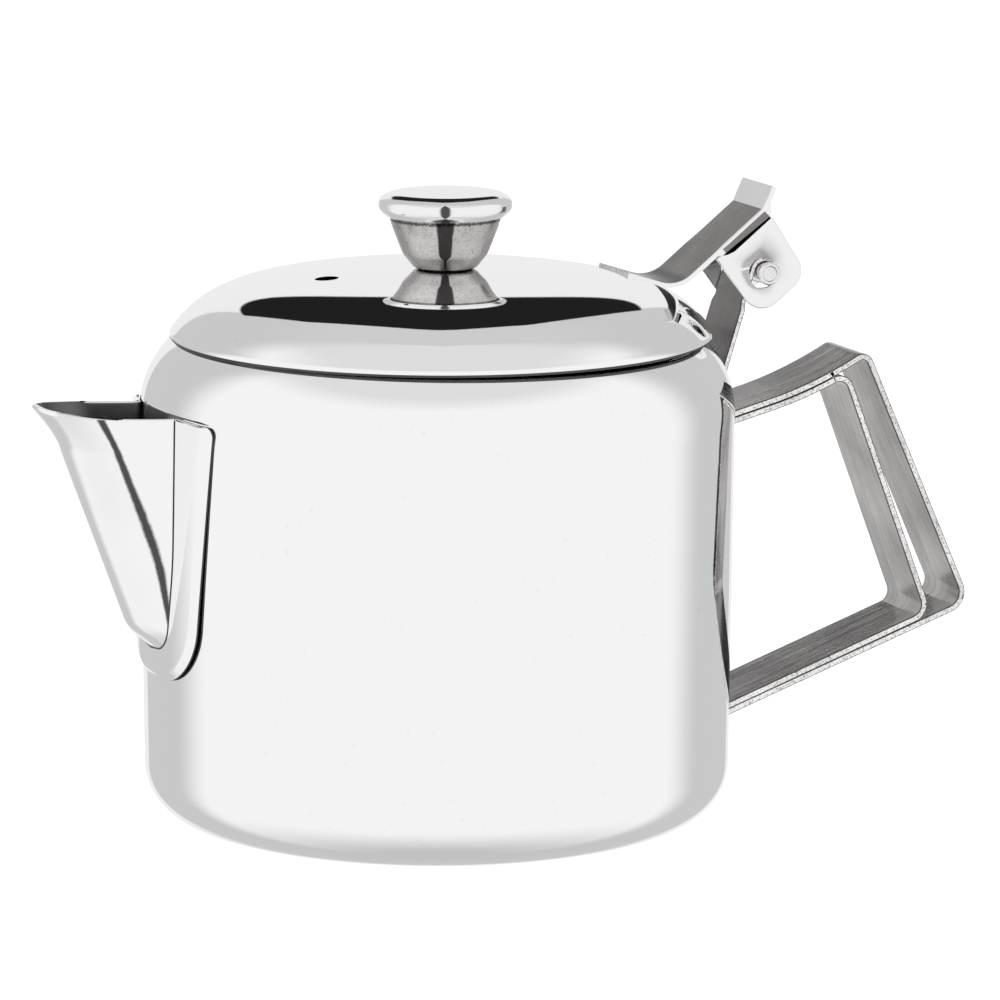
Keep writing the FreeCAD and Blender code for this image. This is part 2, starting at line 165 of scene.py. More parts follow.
def sheet_loop(line, thickness):
    """The closed outline of a sheet with one face on the line, the other to its left, and rounded ends."""
    other = offset(line, thickness)
    loop = [line]
    for tip, back in ((line[-1], other[-1]), (other[0], line[0])):
        across = (back - tip) / 2
        ahead = np.array([across[1], -across[0]]) * math.copysign(1, thickness)
        turns = np.linspace(0, math.pi, 6)[1:-1]
        loop.append([tip + across * (1 - math.cos(a)) + ahead * math.sin(a) * 0.6 for a in turns])
        if len(loop) == 2:
            loop.append(other[::-1])
    return np.vstack(loop)


# Meshes --------------------------------------------------------------------------------------------------

WELD = 1e-6
TURNED_SHARP = 40


def make_object(name, vertices, faces, materials, indices=None):
    """A smooth-shaded mesh object from millimetre coordinates."""
    mesh = bpy.data.meshes.new(name)
    mesh.from_pydata((np.asarray(vertices) * MM).tolist(), [], faces)
    for material in materials:
        mesh.materials.append(material)
    if indices is not None:
        mesh.polygons.foreach_set("material_index", indices)
    mesh.update()
    mesh.shade_smooth()
    obj = bpy.data.objects.new(name, mesh)
    bpy.context.scene.collection.objects.link(obj)
    return obj


def grid_faces(rows, columns, close_rows=False, close_columns=False):
    """Quads of a rows x columns grid of vertices."""
    faces = []
    for i in range(rows if close_rows else rows - 1):
        for j in range(columns if close_columns else columns - 1):
            a = i * columns + j
            b = i * columns + (j + 1) % columns
            c = ((i + 1) % rows) * columns + (j + 1) % columns
            d = ((i + 1) % rows) * columns + j
            faces.append((a, b, c, d))
    return faces


def turned(name, loop, materials, segments=192, closed=True, shift=0.0):
    """Turn a (radius, height) line about an upright axis moved by the shift towards the handle."""
    angles = np.linspace(0, 2 * math.pi, segments, endpoint=False)
    radius, height = loop[:, 0], loop[:, 1]
    x = np.outer(radius, np.cos(angles)) + shift
    y = np.outer(radius, np.sin(angles))
    z = np.outer(height, np.ones(segments))
    vertices = np.stack([x, y, z], axis=-1).reshape(-1, 3)
    faces = grid_faces(len(loop), segments, close_rows=closed, close_columns=True)
    obj = make_object(name, vertices, faces, materials)
    clean(obj, TURNED_SHARP)
    return obj


def clean(obj, sharp):
    """Weld coincident vertices, make the normals point outwards and mark the edges sharper than an angle."""
    mesh = bmesh.new()
    mesh.from_mesh(obj.data)
    bmesh.ops.remove_doubles(mesh, verts=mesh.verts, dist=WELD)
    bmesh.ops.dissolve_degenerate(mesh, dist=WELD / 10, edges=mesh.edges)
    bmesh.ops.recalc_face_normals(mesh, faces=mesh.faces)
    mesh.to_mesh(obj.data)
    mesh.free()
    obj.data.set_sharp_from_angle(angle=math.radians(sharp))
    obj.data.update()


def flattened(obj):
    """Let the large faces set the shading, so that softened edges don't tint them."""
    modifier = obj.modifiers.new("flat_faces", "WEIGHTED_NORMAL")
    modifier.keep_sharp = True
    return obj


def pierced(obj, cutters):
    """Cut the cutters out of the object and remove them."""
    for cutter in cutters:
        modifier = obj.modifiers.new("hole", "BOOLEAN")
        modifier.object = cutter
        modifier.operation = "DIFFERENCE"
        modifier.solver = "EXACT"
    graph = bpy.context.evaluated_depsgraph_get()
    mesh = bpy.data.meshes.new_from_object(obj.evaluated_get(graph))
    obj.modifiers.clear()
    obj.data = mesh
    for cutter in cutters:
        bpy.data.objects.remove(cutter)
    obj.data.set_sharp_from_angle(angle=math.radians(TURNED_SHARP))


def rod(name, start, end, radius, segments=40):
    """A plain round cutter from start to end, in millimetres."""
    start, end = Vector(start), Vector(end)
    turn = (end - start).to_track_quat("Z", "Y").to_matrix()
    length = (end - start).length
    ring = [Vector((radius * math.cos(a), radius * math.sin(a), 0))
            for a in np.linspace(0, 2 * math.pi, segments, endpoint=False)]
    vertices = [start + turn @ (p + Vector((0, 0, h))) for h in (0, length) for p in ring]
    faces = [(i, (i + 1) % segments, segments + (i + 1) % segments, segments + i) for i in range(segments)]
    faces += [tuple(reversed(range(segments))), tuple(range(segments, 2 * segments))]
    return make_object(name, [list(v) for v in vertices], faces, [])


def swept(name, line, section, materials, paint, place=None, sharp=12):
    """Carry a closed (across, outwards) section along a line in the XZ plane; outwards is to the line's left.

    The section is a function of the length along the line. Paint gives the material's index for a column and
    a length.
    """
    side = normals(line)
    lengths = lengths_along(line)
    rings = []
    for point, normal, length in zip(line, side, lengths):
        shape = section(length)
        rings.append([(point[0] + normal[0] * n, y, point[1] + normal[1] * n) for y, n in shape])
    rings = np.array(rings)
    count = rings.shape[1]
    faces = grid_faces(len(line), count, close_columns=True)
    indices = [paint(face % count, lengths[face // count]) for face in range(len(faces))]
    faces.append(tuple(range(count)))
    faces.append(tuple((len(line) - 1) * count + k for k in reversed(range(count))))
    indices += [1, 1]
    vertices = rings.reshape(-1, 3)
    if place is not None:
        vertices = place(vertices)
    obj = make_object(name, vertices, faces, materials, indices)
    clean(obj, sharp)
    return obj


BAR_SOFTENING = 0.16
BAR_STEPS = 3
BAR_FLATS = range(BAR_STEPS, 4 * (BAR_STEPS + 1), BAR_STEPS + 1)
BAR_SIDES = BAR_FLATS[0::2]
BAR_TOP_AND_BOTTOM = BAR_FLATS[1::2]


def bar_section(half, thickness):
    """A flat bar's section with softened corners; the second value runs from 0 down to -thickness."""
    points = []
    corners = ((half, -thickness, 1, -1), (half, 0, 1, 1), (-half, 0, -1, 1), (-half, -thickness, -1, -1))
    for turn, (y, n, sign_y, sign_n) in enumerate(corners):
        start = math.pi * (turn - 1) / 2
        for k in range(BAR_STEPS + 1):
            angle = start + math.pi / 2 * k / BAR_STEPS
            points.append((y - sign_y * BAR_SOFTENING + BAR_SOFTENING * math.cos(angle),
                           n - sign_n * BAR_SOFTENING + BAR_SOFTENING * math.sin(angle)))
    return points


def bar_paint(column, length):
    """The rough second material on a bar's two cut sides, and the third, near-black one on its corners as
    painted shade.
    """
    if column in BAR_SIDES:
        return 1
    return 0 if column in BAR_TOP_AND_BOTTOM else 2


def finish_piece(obj, body, slot, *nodes):
    """Give a finished piece its body, and let it stand in for its nodes; the slot is not used."""
    if nodes:
        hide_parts(*nodes)
    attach(obj, body)


# Steels --------------------------------------------------------------------------------------------------

FINE_GRAIN = 2600.0
FORWARD = Vector((0.358, 0.934, 0)).normalized()
SIDEWAYS = Vector((FORWARD.y, -FORWARD.x, 0))


class Shader:
    """A short way to wire shader nodes."""

    def __init__(self, tree):
        """Start from an empty node tree."""
        self.tree = tree
        tree.nodes.clear()

    def node(self, kind, inputs=None, **settings):
        """Make a node from its settings, and give each input a link or a plain value."""
        made = self.tree.nodes.new(kind)
        for key, value in settings.items():
            setattr(made, key, value)
        for key, value in (inputs or {}).items():
            if isinstance(value, bpy.types.NodeSocket):
                self.tree.links.new(value, made.inputs[key])
            else:
                made.inputs[key].default_value = value
        return made

    def math(self, operation, a, b=0.0, c=0.0, clamp=False):
        """One operation on one, two or three values."""
        inputs = {0: a, 1: b, 2: c}
        return self.node("ShaderNodeMath", inputs, operation=operation, use_clamp=clamp).outputs[0]

    def times(self, level, *factors):
        """The product of a level and the factors."""
        for factor in factors:
            level = self.math("MULTIPLY", level, factor)
        return level

    def around(self, value, depth, middle=0.5, level=1.0, clamp=False):
        """The level, raised by depth for each unit that the value is above the middle."""
        return self.math("MULTIPLY_ADD", self.math("SUBTRACT", value, middle), depth, level, clamp=clamp)

    def less(self, mask, depth):
        """One, lowered by depth where the mask is full."""
        return self.math("MULTIPLY_ADD", mask, -depth, 1.0)

    def along(self, way, direction):
        """How far a way points in a direction."""
        inputs = {0: way, 1: direction}
        return self.node("ShaderNodeVectorMath", inputs, operation="DOT_PRODUCT").outputs["Value"]

    def ramp(self, value, low, high, to_low=0.0, to_high=1.0):
        """A smooth step between two levels as the value goes from low to high."""
        inputs = {0: value, 1: low, 2: high, 3: to_low, 4: to_high}
        return self.node("ShaderNodeMapRange", inputs, interpolation_type="SMOOTHSTEP").outputs[0]

    def heading(self, way):
        """Elevation of a direction, and its heading from straight behind the pot, in degrees."""
        axes = self.node("ShaderNodeSeparateXYZ", {0: way}).outputs
        rise = self.math("MULTIPLY", self.math("ARCSINE", axes[2]), 180 / math.pi)
        turn = self.math("ARCTAN2", self.along(way, SIDEWAYS), self.along(way, FORWARD))
        return rise, self.math("MULTIPLY", turn, 180 / math.pi)

    def noise(self, vector, scale, detail, roughness, stretch=(1, 1, 1)):
        """Noise of a fineness, drawn out along the axes where the stretch is small."""
        moved = self.node("ShaderNodeMapping", {"Vector": vector, "Scale": stretch}).outputs[0]
        inputs = {"Vector": moved, "Scale": scale, "Detail": detail, "Roughness": roughness}
        return self.node("ShaderNodeTexNoise", inputs).outputs[0]


def steel(name, tint, rough, grain, streak=0.0, stretch=(1, 1, 1), pits=0.0, dark=0.0, painted_reflection_gap=0.0, burr=0.0,
          painted_shade_ring=None, edge=0.0):
    """A stainless steel: tint and roughness, with fine grain, streaks, blotches and pits.

    Stretch draws the streaks out, and dark is the depth of the large blotches. The opening is half the width
    in degrees of a painted reflection: a near-black gap painted into the colour where this steel's reflection
    heads back towards the lens. Burr is the depth of the rough dark spots, the seam is the height in metres of
    a thin ring of painted shade, and edge is the depth of painted shade where the steel turns away from view.
    """
    material = bpy.data.materials.new(name)
    material.use_nodes = True
    s = Shader(material.node_tree)
    place = s.node("ShaderNodeTexCoord").outputs["Object"]
    fine = s.noise(place, FINE_GRAIN, 3.0, 0.6)
    scratch = s.noise(place, 420.0, 6.0, 0.72, stretch)
    blotch = s.noise(place, 95.0, 3.0, 0.5)
    pit = s.ramp(s.noise(place, 900.0, 2.0, 0.5), 0.69, 0.74)
    level = s.times(s.around(scratch, 2 * streak), s.around(blotch, -2 * dark), s.less(pit, pits),
                    s.around(fine, 0.25 * grain))
    # Painted reflection: darken the colour to a near-black gap with a ragged border where the reflection heads
    # back towards the lens.
    if painted_reflection_gap:
        heading = s.heading(s.node("ShaderNodeTexCoord").outputs["Reflection"])[1]
        ragged = s.around(scratch, 6.0, level=s.math("ABSOLUTE", heading))
        level = s.times(level, s.ramp(ragged, 180 - painted_reflection_gap - 3, 180 - painted_reflection_gap + 3, 1.0, 0.09))
    if burr:
        spots = s.ramp(s.noise(place, FINE_GRAIN, 5.0, 0.7), 0.50, 0.60)
        level = s.times(level, s.less(spots, burr))
    # Painted shade: a thin near-black ring, with a ragged border, at the given height.
    if painted_shade_ring:
        height = s.node("ShaderNodeSeparateXYZ", {0: place}).outputs[2]
        away = s.math("ABSOLUTE", s.math("SUBTRACT", height, painted_shade_ring))
        level = s.times(level, s.ramp(s.around(fine, 0.0012, level=away), 0.0001, 0.0004, 0.2, 1.0))
    # Painted shade: darker where the surface turns away from the view.
    if edge:
        facing = s.node("ShaderNodeLayerWeight", {"Blend": 0.5}).outputs["Facing"]
        level = s.times(level, s.less(facing, edge))
    colour = s.node("ShaderNodeVectorMath", {0: tint, "Scale": level}, operation="SCALE").outputs[0]
    roughness = s.around(scratch, 0.5 * rough + 0.2 * streak, 0.4, rough)
    roughness = s.around(blotch, 0.3 * rough, level=roughness, clamp=True)
    height = s.math("MULTIPLY_ADD", scratch, 0.5 + 2 * streak, s.math("MULTIPLY", fine, 0.25))
    bumped = s.node("ShaderNodeBump", {"Strength": grain, "Distance": 0.00004, "Height": height}).outputs[0]
    surface = s.node("ShaderNodeBsdfPrincipled", {
        "Base Color": colour, "Metallic": 1.0, "Roughness": roughness, "Normal": bumped}).outputs[0]
    s.node("ShaderNodeOutputMaterial", {"Surface": surface})
    return material


MIRROR = steel("mirror_steel", (0.955, 0.955, 0.96), 0.03, 0.10, pits=0.05)
SATIN = steel("satin_steel", (0.86, 0.84, 0.84), 0.14, 0.5, streak=0.06, pits=0.25, dark=0.15)
STRIP = steel("strip_steel", (0.56, 0.54, 0.53), 0.20, 0.8, streak=0.55, stretch=(0.12, 1.6, 0.12), dark=0.5)
DULL = steel("dull_steel", (0.25, 0.24, 0.235), 0.28, 1.0, streak=0.25, stretch=(0.3, 1.2, 0.3), dark=0.4,
             burr=0.2)
# Painted reflection: a dark stripe on the spout where it would mirror the lens's gap.
SPOUT_STEEL = steel("spout_steel", (0.955, 0.955, 0.96), 0.04, 0.12, streak=0.02, painted_reflection_gap=6.5)
# Painted shade: near-black for the inside of the spout.
SHADED = steel("shaded_steel", (0.16, 0.155, 0.155), 0.35, 0.5, streak=0.1, dark=0.2)
# Painted shade: near-black for the dark lines in the gap under the lid's rim, along the spout's fold and flange
# edges, and on the bars' corners.
PAINTED_SHADE_STEEL = steel("painted_shade_steel", (0.10, 0.095, 0.095), 0.40, 0.5, streak=0.2, dark=0.3)
# Painted reflection: a dark patch on the knob's cap where it would mirror the lens's gap.
CAP_STEEL = steel("cap_steel", (0.93, 0.925, 0.925), 0.08, 0.2, painted_reflection_gap=9.0)
# Painted reflection and painted shade: the knob's cup carries a wide dark reflection of the lens's gap, a thin
# ring of painted shade just under the cap's edge, and painted shade where it turns away from the view.
CUP_STEEL = steel("cup_steel", (0.66, 0.635, 0.625), 0.24, 0.9, streak=0.3, pits=0.4, dark=0.9, painted_reflection_gap=21.0,
                  burr=0.25, painted_shade_ring=0.1009, edge=0.45)
BUFFED = steel("buffed_steel", (0.95, 0.945, 0.945), 0.30, 0.15, streak=0.02)
INSIDE = steel("inside_steel", (0.62, 0.61, 0.60), 0.32, 0.5, streak=0.08, dark=0.2)
CUT = steel("cut_edge_steel", (0.93, 0.92, 0.91), 0.30, 1.0, streak=0.30, pits=0.7, dark=0.3, burr=0.6)


# Pot and lid ---------------------------------------------------------------------------------------------

BASE_RISE = 1.2
MOUTH_RADIUS = 40.5
STRAINER_ROWS = 5
STRAINER_PITCH = 4.6
STRAINER_BOTTOM = 41
STRAINER_RADIUS = 1.5
RIVET_HOLE = 2.35
DOME_EDGE = 44.9
DOME_SPREAD = 46.06
DOME_FALL = 3.4
RIM_FALL = 8.0
VENT_OFFSET = 20.4
VENT_RADIUS = 2.0
COLLAR_RADIUS = 38.9
COLLAR_EDGE = 77.5
RIM_SHADE = 0.3
FINE_TURN = 256


def pot_line():
    """The pot's outer line from the middle of its base to its mouth."""
    corners = [
        (0, BASE_RISE, None), (35, BASE_RISE, 2), (36.8, 0, 2), (RADIUS - 0.8, 0, 8.9), (RADIUS, 78.6, 17.05),
        (MOUTH_RADIUS, MOUTH_HEIGHT, None),
    ]
    line = respaced(rounded(corners, 0.3), 0.45)
    return eased(line, 10)


def make_pot():
    """The pot's shell, with the strainer holes behind the spout."""
    loop = sheet_loop(pot_line(), SHEET)
    obj = turned("pot_wall", loop, [MIRROR, INSIDE], segments=FINE_TURN)
    cutters = []
    for row in range(STRAINER_ROWS):
        for column in (-1, 0, 1):
            y, z = STRAINER_PITCH * column, STRAINER_BOTTOM + STRAINER_PITCH * row
            cutters.append(rod("strainer", (-RADIUS - 3, y, z), (-RADIUS + 6, y, z), STRAINER_RADIUS, 24))
    pierced(obj, cutters)
    inner_radius, inner_floor = (RADIUS - SHEET / 2) * MM, (BASE_RISE + SHEET / 2) * MM
    inner_to_second(obj, lambda c: math.hypot(c.x, c.y) < inner_radius and c.z > inner_floor)
    finish_piece(obj, "pot", "mirror_steel", "body_shell")


def inner_to_second(obj, inside):
    """Give the second material to the faces that look inwards and whose centre passes the test."""
    for face in obj.data.polygons:
        if inside(face.center) and facing_in(face):
            face.material_index = 1


def facing_in(face):
    """Whether a face of a turned shell looks towards the middle of the pot."""
    middle = Vector((0, 0, 0.045))
    return (middle - face.center).dot(face.normal) > 0


def dome_height(radius):
    """Height of the lid's dome: nearly flat at the knob and ever steeper towards the rim."""
    share = radius / DOME_SPREAD
    return CROWN - DOME_FALL * share ** 2 - RIM_FALL * share ** 8


def lid_line():
    """The lid's outer line from the knob's rivet hole over the dome and round the rim."""
    radii = np.linspace(RIVET_HOLE, DOME_EDGE, 90)
    dome = np.column_stack([radii, dome_height(radii)])
    rim = [(DOME_EDGE, dome_height(DOME_EDGE), None), (LID_RADIUS, dome_height(LID_RADIUS) + 0.1, 0.35),
           (LID_RADIUS, RIM_EDGE, None)]
    tail = rounded(rim, 0.1)
    return eased(respaced(np.vstack([dome, tail[1:]]), 0.22), 3)


def make_lid():
    """The lid's dome, with its vent and the shade under its rim, and the collar that fits the pot's mouth."""
    loop = sheet_loop(lid_line(), -SHEET)
    obj = turned("lid_dome", loop, [MIRROR, PAINTED_SHADE_STEEL], segments=FINE_TURN, shift=LID_SHIFT)
    vent = LID_SHIFT - VENT_OFFSET
    pierced(obj, [rod("vent", (vent, 0, 80), (vent, 0, 100), VENT_RADIUS)])
    # Painted shade: the lowest band of the rim gets the near-black steel, for the dark gap under the lid.
    for face in obj.data.polygons:
        if face.center.z < (RIM_EDGE + RIM_SHADE) * MM:
            face.material_index = 1
    finish_piece(obj, "lid", "mirror_steel", "lid_shell")
    under = offset(lid_line(), -SHEET)
    outer, inner = COLLAR_RADIUS, COLLAR_RADIUS - SHEET
    top = np.interp((inner, outer), under[:, 0], under[:, 1])
    skirt = [(outer, top[1], None), (outer, COLLAR_EDGE, 0.3), (inner, COLLAR_EDGE, 0.3),
             (inner, top[0], None)]
    collar = turned("lid_collar_ring", rounded(skirt, 0.2), [SATIN], shift=LID_SHIFT)
    finish_piece(collar, "lid", "satin_steel", "lid_collar")


KNOB_SHEET = 0.6
KNOB_TURN = 144


def make_knob():
    """The knob's cup, the cap crimped over it, and the rivet that holds them to the lid."""
    cup = [(1.7, CROWN, None), (4.6, CROWN, 0.8), (5.35, 92.75, 0.6), (7.15, 95.0, 3), (8.86, 99.4, 12),
           (9.4, 101.2, 2), (9.4, 103.4, None)]
    line = eased(respaced(rounded(cup, 0.15), 0.12), 2)
    loop = sheet_loop(line, KNOB_SHEET)
    obj = turned("knob_cup_wall", loop, [CUP_STEEL], segments=KNOB_TURN, shift=KNOB_SHIFT)
    finish_piece(obj, "lid", "satin_steel", "knob_cup")
    top = CAP_HIGH[2]
    rim = 11.2
    cap = [(0, top, None), (9.6, top - 0.3, 4), (rim, 104.0, 0.95), (rim, 102.5, 1.0), (10.1, 101.35, None)]
    line = eased(respaced(rounded(cap, 0.15), 0.12), 6)
    loop = sheet_loop(line, -KNOB_SHEET)
    obj = turned("knob_cap_dome", loop, [CAP_STEEL], segments=KNOB_TURN, shift=KNOB_SHIFT)
    finish_piece(obj, "lid", "mirror_steel", "knob_cap")
    inside, outside = CROWN - SHEET, CROWN + KNOB_SHEET
    shank, head, depth, bend = 1.6, 3.2, 0.9, 0.45
    rivet = [(0, inside - depth, None), (head, inside - depth, bend), (head, inside, None),
             (shank, inside, None), (shank, outside, None),
             (head, outside, None), (head, outside + depth, bend), (0, outside + depth, None)]
    line = rounded(rivet, 0.15)
    obj = turned("knob_rivet_head", line, [SATIN], segments=48, closed=False, shift=KNOB_SHIFT)
    finish_piece(obj, "lid", "satin_steel", "knob_rivet")


# Hinge ---------------------------------------------------------------------------------------------------

PIN_RADIUS = 1.8
BRACKET_SHEET = 0.9
BRACKET_LEAN = 17.5
BRACKET_HALF = 6.2
TONGUE_HALF = 5.5
TONGUE_FROM = 12.5
EAR_HOLE = 2.6
EAR_HOLE_SHIFT = 0.75
LEVER_FOOT = np.array((41.0, 88.1))
LEVER_BEND = np.array((56.5, 100.6))
EAR_START = np.array((47.1, 93.6))
EAR_END = np.array((56.5, 100.5))
PLATE_SOFTENING = 0.14


def make_pin():
    """The hinge pin, with a peened head at each end."""
    end = PIN_HIGH[1]
    head = 2.0
    half = [(0, end - 0.35, None), (1.2, end - 0.35, 0.2), (1.35, end - 0.02, 0.15), (1.7, end, 0.12),
            (head, end - 0.3, 0.25), (head, end - 1.05, 0.1), (PIN_RADIUS, end - 1.05, None)]
    line = rounded(half + [(r, -y, b) for r, y, b in reversed(half)], 0.08)
    obj = turned("pin_rod", line, [SATIN], segments=64, closed=False)
    to_hinge = Matrix.Translation(Vector((PIN[0], 0, PIN[1])) * MM)
    obj.data.transform(to_hinge @ Matrix.Rotation(-math.pi / 2, 4, "X"))
    obj.visible_glossy = False
    finish_piece(obj, "pot", "satin_steel", "hinge_pin")


def make_bracket():
    """The strip that leans up from the shoulder and narrows to the tongue that curls round the pin."""
    lean = math.radians(BRACKET_LEAN)
    reach = PIN_RADIUS + 0.05 + BRACKET_SHEET

    def at_pin(vertices):
        """From the bracket's upright frame round the pin to the pot's."""
        x, y, z = vertices.T
        return np.column_stack([PIN[0] + x * math.cos(lean) + z * math.sin(lean), y,
                                PIN[1] - x * math.sin(lean) + z * math.cos(lean)])

    bend = reach - 0.02
    corners = [(-reach, -19.2, None), (-reach, reach, bend), (reach, reach, bend), (reach, -2.0, None)]
    line = rounded(corners, 0.3)
    line = np.vstack([respaced(line[:2], 0.4), line[2:]])

    def section(length):
        """The full width at the foot and the tongue's beyond."""
        return bar_section(BRACKET_HALF if length < TONGUE_FROM else TONGUE_HALF, BRACKET_SHEET)

    piece = swept("bracket_strip", line, section, [DULL, CUT, PAINTED_SHADE_STEEL], bar_paint, place=at_pin)
    finish_piece(piece, "pot", "strip_steel", "hinge_bracket")


def lever_line():
    """The lever's top line: down the dome, up the arm, and the short upturned tab."""
    corners = [(32.0, 90.95, None), (*LEVER_FOOT, 6), (*LEVER_BEND, 0.7), (58.3, LEVER_HIGH[2], None)]
    return rounded(corners, 0.35)


BEND_STEPS = 6
TOP_COLUMN = BEND_STEPS + 1
WEB_FACES = (0, TOP_COLUMN, 2 * TOP_COLUMN)


def fold_section(depth, fold):
    """The web's section: a sheet whose two edges turn down by depth round a fold."""
    half, inner = HALF_LEVER, min(0.5, depth - SHEET)
    points = []
    for k in range(BEND_STEPS + 1):
        angle = math.pi / 2 * k / BEND_STEPS
        points.append((half - fold + fold * math.cos(angle), -fold + fold * math.sin(angle)))
    points += [(-y, n) for y, n in reversed(points)]
    points.append((-half, -depth))
    points.append((-half + SHEET, -depth))
    for k in range(BEND_STEPS + 1):
        angle = math.pi / 2 * k / BEND_STEPS
        across = -half + SHEET + inner - inner * math.cos(angle)
        points.append((across, -SHEET - inner + inner * math.sin(angle)))
    points += [(-y, n) for y, n in reversed(points[-BEND_STEPS - 2:])]
    return [(half, -depth)] + points[:-1]


def make_lever():
    """The lid's lever: a folded web on the lid with an ear on each side."""
    line = lever_line()
    lengths = lengths_along(line)
    ears_from = lengths[np.argmin(np.hypot(*(line - EAR_START).T))]
    ears_to = lengths[np.argmin(np.hypot(*(line - EAR_END).T))]

    def section(length):
        """The fold grows deeper and rounder where the ears are, and flattens out at the tab."""
        along = min(max(length - ears_from, 0), 2.0) / 2.0
        if length > ears_to:
            along = max(0.0, 1 - (length - ears_to) / 0.6)
        return fold_section(SHEET + 0.02 + 1.4 * along, 0.2 + 0.3 * along)

    def paint(column, length):
        """Dull steel on the flat faces that show between the ears, and the top face alone elsewhere."""
        if ears_from < length < ears_to:
            return 0 if column in WEB_FACES else 2
        return 0 if column == TOP_COLUMN and length < ears_to else 2

    web = flattened(swept("lever_web", line, section, [DULL, CUT, BUFFED], paint, sharp=50))
    finish_piece(web, "lid", "strip_steel", "lid_lever")
    for side in (-1, 1):
        ear = make_ear("lever_ear_%s" % ("near" if side < 0 else "far"), side)
        finish_piece(ear, "lid", "strip_steel", "lid_lever")


def make_ear(name, side):
    """One ear: a flat plate with rounded corners and a hole for the pin."""
    direction = LEVER_BEND - LEVER_FOOT
    direction /= np.linalg.norm(direction)
    below = np.array([direction[1], -direction[0]]) * 1.7
    back = EAR_START + below * 0.9
    front = LEVER_BEND + below
    corner = front + (0.9, -0.4)
    corners = [(*back, None), (56.0, 81.9, 4.0), (64.9, 89.0, 3.3), (*corner, 0.4), (*front, None)]
    outline = rounded(corners, 0.25)
    hole = np.array([(PIN[0] - EAR_HOLE_SHIFT + EAR_HOLE * math.cos(a), PIN[1] + EAR_HOLE * math.sin(a))
                     for a in np.linspace(0, 2 * math.pi, 48, endpoint=False)])
    return plate(name, outline, hole, side * HALF_LEVER, side * (HALF_LEVER - SHEET))


def plate(name, outline, hole, outer, inner):
    """A flat plate in the XZ plane between two Y levels, with softened edges and one hole."""
    loops = []
    for loop, inward in ((outline, 1), (hole, -1)):
        area = np.sum(loop[:, 0] * np.roll(loop[:, 1], -1) - np.roll(loop[:, 0], -1) * loop[:, 1])
        ahead = np.roll(loop, -1, axis=0) - np.roll(loop, 1, axis=0)
        ahead /= np.linalg.norm(ahead, axis=1)[:, None]
        left = np.column_stack([-ahead[:, 1], ahead[:, 0]]) * math.copysign(1, area) * inward
        loops.append((loop, loop + left * PLATE_SOFTENING))
    flat = np.vstack([loops[0][1], loops[1][1]])
    count, holes = len(outline), len(hole)
    edges = [(i, (i + 1) % count) for i in range(count)]
    edges += [(count + i, count + (i + 1) % holes) for i in range(holes)]
    result = delaunay_2d_cdt([Vector(p) for p in flat], edges, [], 1, 1e-6)
    triangles = []
    centre = hole.mean(axis=0)
    reach = np.linalg.norm(hole[0] - centre)
    for face in result[2]:
        corner = [result[0][k] for k in face]
        middle = sum(corner, Vector((0, 0))) / 3
        if math.hypot(middle.x - centre[0], middle.y - centre[1]) > reach * 0.97:
            triangles.append(tuple(result[3][k][0] for k in face))
    total = len(flat)
    full = np.vstack([outline, hole])
    step = math.copysign(PLATE_SOFTENING, outer)
    levels = ((flat, outer), (full, outer - step), (full, inner + step), (flat, inner))
    vertices = np.vstack([np.column_stack([p[:, 0], np.full(total, y), p[:, 1]]) for p, y in levels])
    faces = list(triangles) + [tuple(3 * total + k for k in reversed(t)) for t in triangles]
    indices = [0] * len(faces)
    for first, size in ((0, count), (count, holes)):
        for level in range(3):
            for k in range(size):
                a, b = level * total + first + k, level * total + first + (k + 1) % size
                faces.append((a, b, b + total, a + total))
                indices.append(1 if level == 1 else 0)
    obj = make_object(name, vertices, faces, [BUFFED, CUT], indices)
    clean(obj, 30)
    return obj


# Handle --------------------------------------------------------------------------------------------------

ROOT = RADIUS - 0.6
BANDS = {
    "outer": [
        (ROOT, 65.9, None), (66.2, 70.35, 70), (76.2, 75.75, 2.2), (96.5, 30.05, 3.6), (ROOT, 13.2, None),
    ],
    "inner": [
        (50.9, 65.15, None), (64.4, 68.7, 71), (72.45, 72.4, 2.9), (89.0, 28.58, 3.2), (ROOT, 14.25, None),
    ],
}


def make_handle():
    """The handle's two bent strips, one inside the other."""
    section = bar_section(HALF_BAND, BAND_SHEET)
    for name, corners in BANDS.items():
        line = rounded(corners, 0.35)
        piece = swept(name + "_band", line, lambda length: section, [STRIP, CUT, PAINTED_SHADE_STEEL], bar_paint)
        finish_piece(piece, "pot", "strip_steel", "handle_%s_band" % name)


# Spout ---------------------------------------------------------------------------------------------------
# The flange and crease are (half width, height) lines on the pot's wall. The keel and nose are lines of
# (height, reach): the channel's front, and where its straight sides end and its round front begins.

FLANGE = [(15.5, 71.1, None), (19.35, 71.1, 1.6), (13.9, 26.75, 11.5), (0, 26.75, None)]
CREASE = [(10.1, 71.2, None), (9.3, 47.0, 60), (6.9, 32.5, 4.6), (0, 31.8, None)]
KEEL = [(31.8, 50.8, None), (35.2, 54.6, 6), (71.2, 68.0, None)]
NOSE = [(31.8, 47.8, None), (50.5, 47.2, 25), (71.2, 58.6, None)]
SPOUT_ROWS = 170
FLANGE_COLUMNS = 16
CHANNEL_COLUMNS = 60
# The strip of painted shade at the fold reaches this far on each side of it.
FOLD_SHADE_STRIP = 0.17
THIN_EDGE = 0.24
FLANGE_SINK = 0.1
TOE_SHEET = 0.5
EDGE_ROUND = 0.25
LIP_FROM = 66.0
LIP_LENGTH = 5.2
MOUTH_FROM = 60
MOUTH_LENGTH = 11.2
MOUTH_RUN = 21


def smooth_step(value):
    """A smooth rise from nought to one."""
    value = np.clip(value, 0, 1)
    return value * value * (3 - 2 * value)


